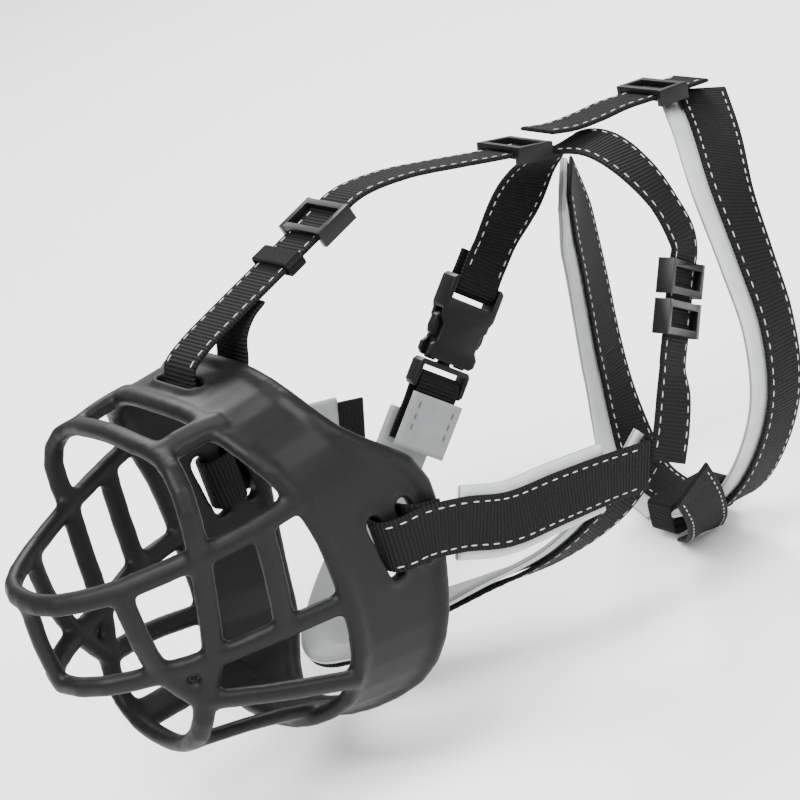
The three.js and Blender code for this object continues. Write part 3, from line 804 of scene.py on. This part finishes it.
def refined(node, body, bevel, name):
    """A moulded plastic piece: the CAD solid with its flat faces merged and its edges rounded."""
    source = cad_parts[node]
    mesh = source.data.copy()
    bm = bmesh.new()
    bm.from_mesh(mesh)
    bmesh.ops.remove_doubles(bm, verts=bm.verts, dist=MERGE_DISTANCE)
    flat_angle = math.radians(MERGE_ANGLE)
    bmesh.ops.dissolve_limit(bm, angle_limit=flat_angle, verts=bm.verts, edges=bm.edges)
    bm.to_mesh(mesh)
    bm.free()
    piece = object_from(name, mesh)
    round_off = piece.modifiers.new("round", "BEVEL")
    round_off.width = bevel * MM
    round_off.segments = 3
    round_off.limit_method = "ANGLE"
    round_off.angle_limit = math.radians(EDGE_ANGLE)
    apply_modifiers(piece)
    piece.data.shade_smooth()
    finish_piece(piece, "plastic", body, (node,))


KEEPER_THICK = 1.5
KEEPER_CORNER = 1.4
KEEPER_EDGE = 0.6
KEEPER_SWELL = (0.08, 0.12)
KEEPER_TRIM = (0.4, 0.2)
CORNER_STEPS = 4
QUARTERS = ((1, 1, 0), (-1, 1, 90), (-1, -1, 180), (1, -1, 270))


def keeper_path(half_x, half_z):
    """Points and outward directions round a rectangle with round corners, about every half rib."""
    corners = []
    for sx, sz, start in QUARTERS:
        middle = Vector((sx * (half_x - KEEPER_CORNER), 0, sz * (half_z - KEEPER_CORNER)))
        for step in range(CORNER_STEPS + 1):
            turn = math.radians(start + 90 * step / CORNER_STEPS)
            away = Vector((math.cos(turn), 0, math.sin(turn)))
            corners.append((middle + away * KEEPER_CORNER, away))
    path = []
    for (point, away), (end, off) in zip(corners, corners[1:] + corners[:1]):
        count = max(1, round((end - point).length / (RIB_PITCH / 2)))
        for i in range(count):
            share = i / count
            path.append((point.lerp(end, share), away.lerp(off, share).normalized()))
    return path


def keeper_loop(node, body, place, gap_width, gap_height, length):
    """A sewn webbing loop round a strap: local X across the strap, Y along it."""
    path = keeper_path(gap_width / 2 + KEEPER_THICK / 2, gap_height / 2 + KEEPER_THICK / 2)
    section = band_section(length - KEEPER_TRIM[0], KEEPER_THICK - KEEPER_TRIM[1], KEEPER_EDGE, flat)
    turned = place.to_3x3()
    rings, values = [], []
    walked, before = 0.0, path[0][0]
    for i, (point, away) in enumerate(path):
        walked += (point - before).length
        before = point
        swell = KEEPER_SWELL[i % 2]
        ring = []
        for a, o in section:
            local = point + away * (o + math.copysign(swell, o)) + Vector((0, a, 0))
            ring.append(place.translation + turned @ local)
            values.append((walked, a, o))
        rings.append(ring)
    piece = skin_rings(node + "_loop", rings, values, closed=True)
    finish_piece(piece, "webbing", body, (node,))


# Node, body, bevel in millimetres, piece.
BUCKLE_PIECES = (
    ("buckle_socket", ROOT, 0.8, "socket_moulding"),
    ("buckle_plug", PLUG, 0.6, "plug_moulding"),
    ("latch_arm_front", "latch_arm_front", 0.5, "latch_moulding_front"),
    ("latch_arm_rear", "latch_arm_rear", 0.5, "latch_moulding_rear"),
)
GLIDE_BEVEL = 0.8
GLIDES = (
    "forehead_tri_glide", "crown_tri_glide", "side_tri_glide_upper", "side_tri_glide_lower",
    "neck_tri_glide",
)
FOREHEAD_KEEPER = placement(
    Vector((0, 30, 90.3)), Vector((0, 0.965, 0.262)), Vector((0, -0.262, 0.965)),
)
COLLAR_KEEPER = placement(Vector((0, 169, -89)), Vector((1, 0, 0)), Vector((0, -0.1, -1)))


def add_hardware():
    for piece in BUCKLE_PIECES:
        refined(*piece)
    for glide in GLIDES:
        refined(glide, glide, GLIDE_BEVEL, glide + "_moulding")
    keeper_loop(
        "forehead_keeper", "forehead_keeper", FOREHEAD_KEEPER,
        gap_width=21.4, gap_height=3, length=8,
    )
    keeper_loop("collar_keeper", ROOT, COLLAR_KEEPER, gap_width=30, gap_height=10.4, length=15)


add_camera()
add_stage()
add_basket()
add_straps()
add_hardware()
